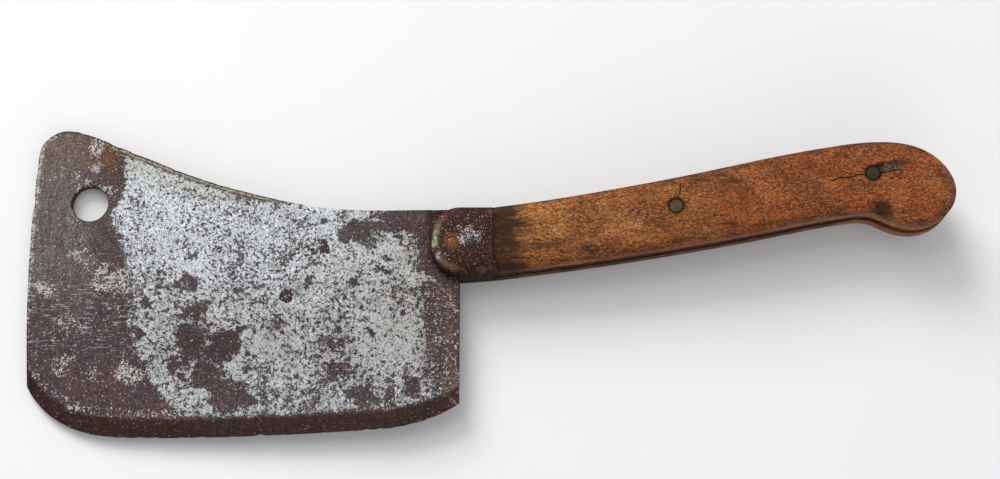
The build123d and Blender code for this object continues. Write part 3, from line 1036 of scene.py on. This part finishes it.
def bare_steel(g, sheen_and_ash, stain):
    """Colour of the pale worn steel, with a painted bluish sheen, a thin stain and fine grit. The grit is
    returned as well.
    """
    grit = g.spread(g.noise(0.85, 4.0, 0.85, g.turned(35.0, (1.0, 0.6, 1.0))), 0.42, 0.62)
    haze = g.spread(g.noise(3.2, 4.0, 0.7), 0.42, 0.66)
    cloud = g.speckle(0.35, 14.0, 4.0, 0.6)
    steel = g.mix(cloud, (0.495, 0.495, 0.493), (0.605, 0.610, 0.616))
    # painted sheen: the steel turns pale blue-white where the sheen field is high
    steel = g.tint(steel, sheen_and_ash, 0.8, (0.665, 0.706, 0.758))
    steel = g.tint(steel, stain, 0.55, (0.410, 0.395, 0.300))
    steel = g.tint(steel, haze, 0.16, (0.190, 0.186, 0.186))
    steel = g.tint(steel, grit, 0.40, (0.100, 0.092, 0.092))
    return steel, grit


def rust_bite(g, cover):
    """Where the rust has eaten the steel: broad bays with a frayed edge, and single black pits."""
    bays = g.speckle(0.36, 5.5, 3.0, 0.6)
    frayed = g.speckle(0.37, 1.7, 4.0, 0.75)
    ragged = g.spread(g.add(g.mul(bays, 0.45), g.mul(frayed, 0.55)), 0.14, 0.86)
    eaten = g.step(g.sub(g.mul(cover, 1.12), ragged), 0.0, 0.07)
    pinholes = g.add(g.noise(1.90, 4.0, 0.78), g.mul(cover, 0.24))
    dots = g.add(g.noise(0.80, 2.0, 0.8), g.mul(cover, 0.12))
    black = g.most(g.step(pinholes, 0.612, 0.626), g.mul(g.step(dots, 0.604, 0.630), 0.85))
    return eaten, black


def rust_colour(g, hue, sheen_and_ash, dark):
    """Colour of the rust, from purple over brown to orange, greyed by the sheen field and darkened by the
    dark field, which holds painted shade. Its grain is returned as well.
    """
    grain = g.speckle(0.37, 0.90, 5.0, 0.85)
    blotch = g.speckle(0.36, 5.0, 4.0, 0.7, g.turned(0.0, (2.2, 0.45, 1.0)))
    depth = g.speckle(0.36, 3.0, 4.0, 0.75)
    turned_hue = g.add(hue, g.mul(g.sub(blotch, 0.5), 0.66))
    purple = g.mix(grain, (0.027, 0.013, 0.018), (0.156, 0.107, 0.133))
    brown = g.mix(grain, (0.030, 0.015, 0.012), (0.195, 0.140, 0.120))
    orange = g.mix(grain, (0.052, 0.018, 0.008), (0.300, 0.150, 0.072))
    rust = g.mix(g.step(turned_hue, 0.05, 0.45), purple, brown)
    rust = g.mix(g.step(turned_hue, 0.42, 0.95), rust, orange)
    rust = g.tint(rust, depth, 0.35, (0.040, 0.022, 0.024))
    # grey film: real ash-grey rust on the toe, and painted sheen over the rust in the bright middle of the
    # steel
    ash_and_sheen_grey = g.mix(grain, (0.060, 0.048, 0.045), (0.310, 0.285, 0.262))
    ash_and_sheen_veil = g.mul(sheen_and_ash, g.add(0.30, g.mul(blotch, 0.55)))
    rust = g.mix(ash_and_sheen_veil, rust, ash_and_sheen_grey)
    # dark field: a darker bevel and rim, and painted shade on the tang and beside the bolster
    rust = g.tint(rust, dark, 0.85, (0.026, 0.0075, 0.0055))
    return rust, grain


def with_flecks(g, rust, fleck, scratch, bevel, burr_and_highlight):
    """The rust with bare flecks, worm-like trails, scratches and a pale worn lip along the spine, which is
    partly a painted highlight on its rounded edge.
    """
    chaff = g.speckle(0.36, 1.15, 4.0, 0.75)
    flecks = g.step(g.sub(g.mul(fleck, 0.33), chaff), -0.05, 0.03)
    trail = g.calc("ABSOLUTE", g.sub(g.noise(2.3, 2.0, 0.6), 0.5))
    patches = g.speckle(0.36, 3.4, 3.0, 0.65)
    gate = g.step(g.sub(g.mul(fleck, 0.92), patches), 0.05, 0.15)
    flecks = g.most(flecks, g.mul(g.step(trail, 0.030, 0.016), gate))
    hair = g.noise(0.55, 3.0, 0.6, g.turned(0.0, (0.06, 1.0, 1.0)))
    hair_across = g.noise(0.60, 2.0, 0.5, g.turned(82.0, (0.14, 1.0, 1.0)))
    lines = g.step(g.most(hair, g.sub(hair_across, 0.02)), 0.61, 0.67)
    flecks = g.most(flecks, g.mul(lines, g.mul(scratch, 0.62)))
    metal = g.mix(g.mul(bevel, 0.80), (0.750, 0.730, 0.705), (0.300, 0.190, 0.150))
    rust = g.tint(rust, flecks, 0.85, metal)
    # pale line along the spine: worn metal and a painted highlight
    lip = g.mul(burr_and_highlight, g.step(chaff, 0.75, 0.35))
    rust = g.tint(rust, lip, 0.85, (0.520, 0.470, 0.350))
    return rust


def blade_material():
    """Old carbon steel: pale worn metal eaten by brown rust, with bare flecks, scratches and a thin stain,
    and painted sheen, painted shade and a painted highlight along the spine.
    """
    g = Graph("pitted_rusty_steel")
    cover, fleck, scratch = g.fields("wear")
    hue, sheen_and_ash, dark = g.fields("tint")
    stain, bevel, burr_and_highlight = g.fields("film")
    steel, grit = bare_steel(g, sheen_and_ash, stain)
    eaten, black = rust_bite(g, cover)
    rust, grain = rust_colour(g, hue, sheen_and_ash, dark)
    rust = with_flecks(g, rust, fleck, scratch, bevel, burr_and_highlight)
    pit = g.mul(black, 0.92)
    bare = g.mix(pit, steel, (0.024, 0.014, 0.014))
    colour = g.mix(eaten, bare, rust)
    shown = g.calc("SUBTRACT", 1.0, g.most(eaten, pit), clamp=True)
    metallic = g.mul(shown, 0.60)
    roughness = g.mix(shown, g.add(0.68, g.mul(grain, 0.2)),
                      g.add(0.44, g.mul(grit, 0.16)))
    height = g.sub(g.mul(eaten, g.mul(grain, 1.2)), pit)
    height = g.sub(height, g.mul(grit, 0.4))
    return g.finish(colour, roughness, metallic, g.bump(height, 0.12, 0.8), Specular_IOR_Level=0.08)


def iron_material(name):
    """Dark iron with brown rust, pale along the front rim where it is worn and a highlight is painted,
    speckled with bare flecks painted as glints, and darkened by painted shade.
    """
    g = Graph(name)
    rim_highlight_and_wear, orange, grey = g.fields("wear")
    glint, tan, dark = g.fields("tint")
    grain = g.speckle(0.37, 0.85, 5.0, 0.85)
    cloud = g.speckle(0.36, 3.5, 4.0, 0.7)
    base = g.mix(grain, (0.010, 0.0042, 0.0040), (0.070, 0.032, 0.028))
    warm = g.mix(grain, (0.018, 0.006, 0.003), (0.125, 0.048, 0.020))
    colour = g.mix(g.mul(cloud, 0.45), base, warm)
    rust = g.mix(grain, (0.032, 0.011, 0.005), (0.440, 0.180, 0.072))
    colour = g.mix(g.mul(orange, g.add(0.5, g.mul(cloud, 0.4))), colour, rust)
    slate = g.mix(grain, (0.035, 0.030, 0.034), (0.175, 0.165, 0.178))
    colour = g.tint(colour, grey, 0.8, slate)
    band = g.mix(grain, (0.032, 0.012, 0.007), (0.520, 0.290, 0.175))
    spark = g.speckle(0.36, 0.95, 4.0, 0.75)
    colour = g.mix(g.mul(tan, g.sub(1.0, g.mul(spark, 0.75))), colour, band)
    # painted highlight on the front rim, over some wear: a pale wash and paler metallic spots
    worn = g.step(g.sub(g.mul(rim_highlight_and_wear, 0.95), spark), -0.05, 0.40)
    colour = g.tint(colour, rim_highlight_and_wear, 0.60, (0.245, 0.220, 0.165))
    colour = g.mix(worn, colour, (0.430, 0.410, 0.320))
    # painted glints: bluish-white reflection specks on the bare flecks
    sparks = g.step(g.sub(g.mul(glint, 0.40), spark), -0.02, 0.03)
    colour = g.tint(colour, sparks, 0.9, (0.640, 0.630, 0.660))
    # dark field: a dark joint, and painted shade on the lower facet, the rim and the inner half
    colour = g.tint(colour, dark, 0.88, (0.017, 0.0060, 0.0036))
    shown = g.most(worn, sparks)
    metallic = g.mul(shown, 0.4)
    roughness = g.sub(0.56, g.mul(shown, 0.16))
    height = g.add(grain, g.mul(cloud, 1.5))
    return g.finish(colour, roughness, metallic, g.bump(height, 0.10, 0.8), Specular_IOR_Level=0.06)


def rivet_material():
    """Tarnished brass, grey-green and dull."""
    g = Graph("tarnished_rivet_brass")
    amount, grime, _ = g.fields("wear")
    grain = g.speckle(0.40, 1.1, 5.0, 0.85)
    colour = g.mix(g.step(amount, 0.1, 0.9), (0.052, 0.042, 0.021), (0.150, 0.084, 0.040))
    colour = g.tint(colour, grain, 0.75, (0.024, 0.020, 0.013))
    roughness = g.add(0.45, g.mul(grain, 0.2))
    return g.finish(colour, roughness, 0.35, g.bump(g.add(grain, grime), 0.06, 0.7), Specular_IOR_Level=0.12)


def wood_material():
    """Old oiled hardwood: short speckled grain, golden to red-brown, with grimy ends and dark cracks, painted
    shade in gaps, hollows and along edges, and pale rims that are partly a painted highlight.
    """
    g = Graph("worn_handle_wood")
    dark, warm, rim = g.fields("wear")
    chip, line, rivet_ring_and_shade = g.fields("damage")
    redness, _, _ = g.fields("tone")
    speck = g.speckle(0.42, 0.85, 3.0, 0.95, g.turned(-11.0, (0.65, 1.0, 1.0)))
    fibre = g.speckle(0.38, 1.4, 5.0, 0.75, g.turned(-11.0, (0.10, 1.0, 1.0)))
    mottle = g.speckle(0.41, 9.0, 5.0, 0.72, g.turned(-11.0, (0.6, 1.0, 1.0)), 0.4)
    gold = g.mix(g.mul(warm, 0.85), (0.460, 0.142, 0.036), (0.745, 0.322, 0.090))
    gold = g.mix(redness, gold, (0.465, 0.114, 0.028))
    deep = g.mix(redness, (0.190, 0.056, 0.016), (0.140, 0.029, 0.009))
    base = g.mix(g.mul(mottle, 0.80), gold, deep)
    base = g.tint(base, fibre, 0.40, (0.080, 0.020, 0.007))
    base = g.tint(base, speck, 0.88, (0.040, 0.011, 0.0040))
    straw = g.spread(g.noise(0.80, 3.0, 0.9, g.turned(24.0, (0.45, 1.0, 1.0))), 0.50, 0.64)
    pale = g.mix(redness, (0.860, 0.440, 0.160), (0.640, 0.235, 0.085))
    base = g.mix(g.mul(straw, g.add(0.40, g.mul(warm, 0.28))), base, pale)
    # paler rim: wear and a painted highlight on the rounded lower edge and round the butt
    base = g.tint(base, rim, 0.50, (0.225, 0.115, 0.068))
    drift = g.speckle(0.36, 3.0, 4.0, 0.7, g.turned(-11.0, (0.25, 1.0, 1.0)))
    # dark field: grime, with painted shade in the gap by the tang and along the handle's edges
    grime = g.add(dark, g.mul(g.sub(drift, 0.5), 0.55))
    base = g.mix(g.mul(g.step(grime, 0.06, 1.00), 0.93), base, (0.024, 0.0098, 0.0058))
    flecked = g.mix(speck, (0.190, 0.110, 0.060), (0.014, 0.007, 0.004))
    base = g.tint(base, chip, 0.95, flecked)
    # dark ring round the rivets, with painted shade in the hollows by the rear rivet
    base = g.tint(base, rivet_ring_and_shade, 0.88, (0.012, 0.006, 0.004))
    base = g.tint(base, line, 0.95, (0.006, 0.003, 0.002))
    roughness = g.add(0.48, g.mul(speck, 0.18))
    roughness = g.add(roughness, g.mul(chip, 0.2))
    height = g.add(speck, g.mul(fibre, 0.8))
    normal = g.bump(g.mul(height, -1.0), 0.09, 0.8)
    return g.finish(base, roughness, 0.0, normal, Specular_IOR_Level=0.12)


# ---------------------------------------------------------------- stage

def make_floor():
    """Pale table, which leans to meet the two places that the cleaver rests on: its bolster and its toe."""
    rest_x = (BOLSTER_FRONT + 6.0) * MM
    toe_x = TOE_X * MM
    drop = (MID_Z - 2.6) * MM
    slope = drop / (rest_x - toe_x)
    reach = 3.0
    corners = [(-reach, -reach), (reach, -reach), (reach, reach), (-reach, reach)]
    mesh = bpy.data.meshes.new("table_top")
    mesh.from_pydata([(x, y, (rest_x - x) * slope - 0.0003) for x, y in corners], [], [(0, 1, 2, 3)])
    table = new_object("table_top", mesh)
    g = Graph("pale_table")
    mottle = g.noise(60.0, 3.0)
    table.data.materials.append(g.finish(g.mix(mottle, (0.88, 0.88, 0.88), (0.91, 0.91, 0.91)), 0.9))


def make_light(name, position, target, size, power, colour=(1.0, 1.0, 1.0)):
    data = bpy.data.lights.new(name, "AREA")
    data.shape = "SQUARE"
    data.size = size
    data.energy = power
    data.color = colour
    lamp = new_object(name, data)
    lamp.location = position
    lamp.rotation_euler = (Vector(target) - Vector(position)).to_track_quat("-Z", "Y").to_euler()


def make_lights():
    world = bpy.data.worlds.new("studio")
    world.use_nodes = True
    world.node_tree.nodes["Background"].inputs["Color"].default_value = (0.95, 0.97, 1.0, 1.0)
    world.node_tree.nodes["Background"].inputs["Strength"].default_value = 0.50
    bpy.context.scene.world = world
    make_light("softbox_above", (-0.25, 0.40, 1.25), (-0.08, 0.0, 0.0), 0.55, 2.4)
    make_light("window", (-1.2, 2.1, 1.9), (0.0, 0.0, 0.0), 1.6, 66.0, (1.0, 0.985, 0.96))
    make_light("front_fill", (0.35, -1.5, 0.6), (0.0, 0.0, 0.0), 1.0, 4.0)


def make_camera():
    """Looks down on the left side from a little below the handle, as one looks at a tool on a table."""
    elevation = math.radians(75.0)
    distance = 0.915
    target = Vector((0.0032, 0.0208, 0.0125))
    data = bpy.data.cameras.new("camera")
    data.sensor_width = 36.0
    data.lens = 69.53
    camera = new_object("camera", data)
    camera.location = target + Vector((0.0, -math.cos(elevation), math.sin(elevation))) * distance
    camera.rotation_euler = (math.radians(90.0) - elevation, 0.0, 0.0)
    bpy.context.scene.camera = camera


# ---------------------------------------------------------------- assembly

def make_cleaver():
    iron, steel = iron_material("bolster_iron_with_painted_highlight"), iron_material("peened_pin_steel")
    brass, wood = rivet_material(), wood_material()
    make_blade(blade_material())
    for node, side in (("bolster_left", 1), ("bolster_right", -1)):
        make_bolster(node, side, iron)
    for seed, node in enumerate(("bolster_pin_front", "bolster_pin_rear")):
        make_pin(node, 110 + 5 * seed, steel)
    for node, side in (("handle_scale_left", 1), ("handle_scale_right", -1)):
        make_scale(node, side, wood)
    halves = [f"rivet_{place}_{half}" for place in ("front", "rear") for half in ("sleeve", "post")]
    for seed, node in enumerate(halves):
        make_rivet(node, 130 + 5 * seed, brass)


bpy.context.scene.view_settings.view_transform = "Standard"
make_camera()
make_lights()
make_floor()
make_cleaver()
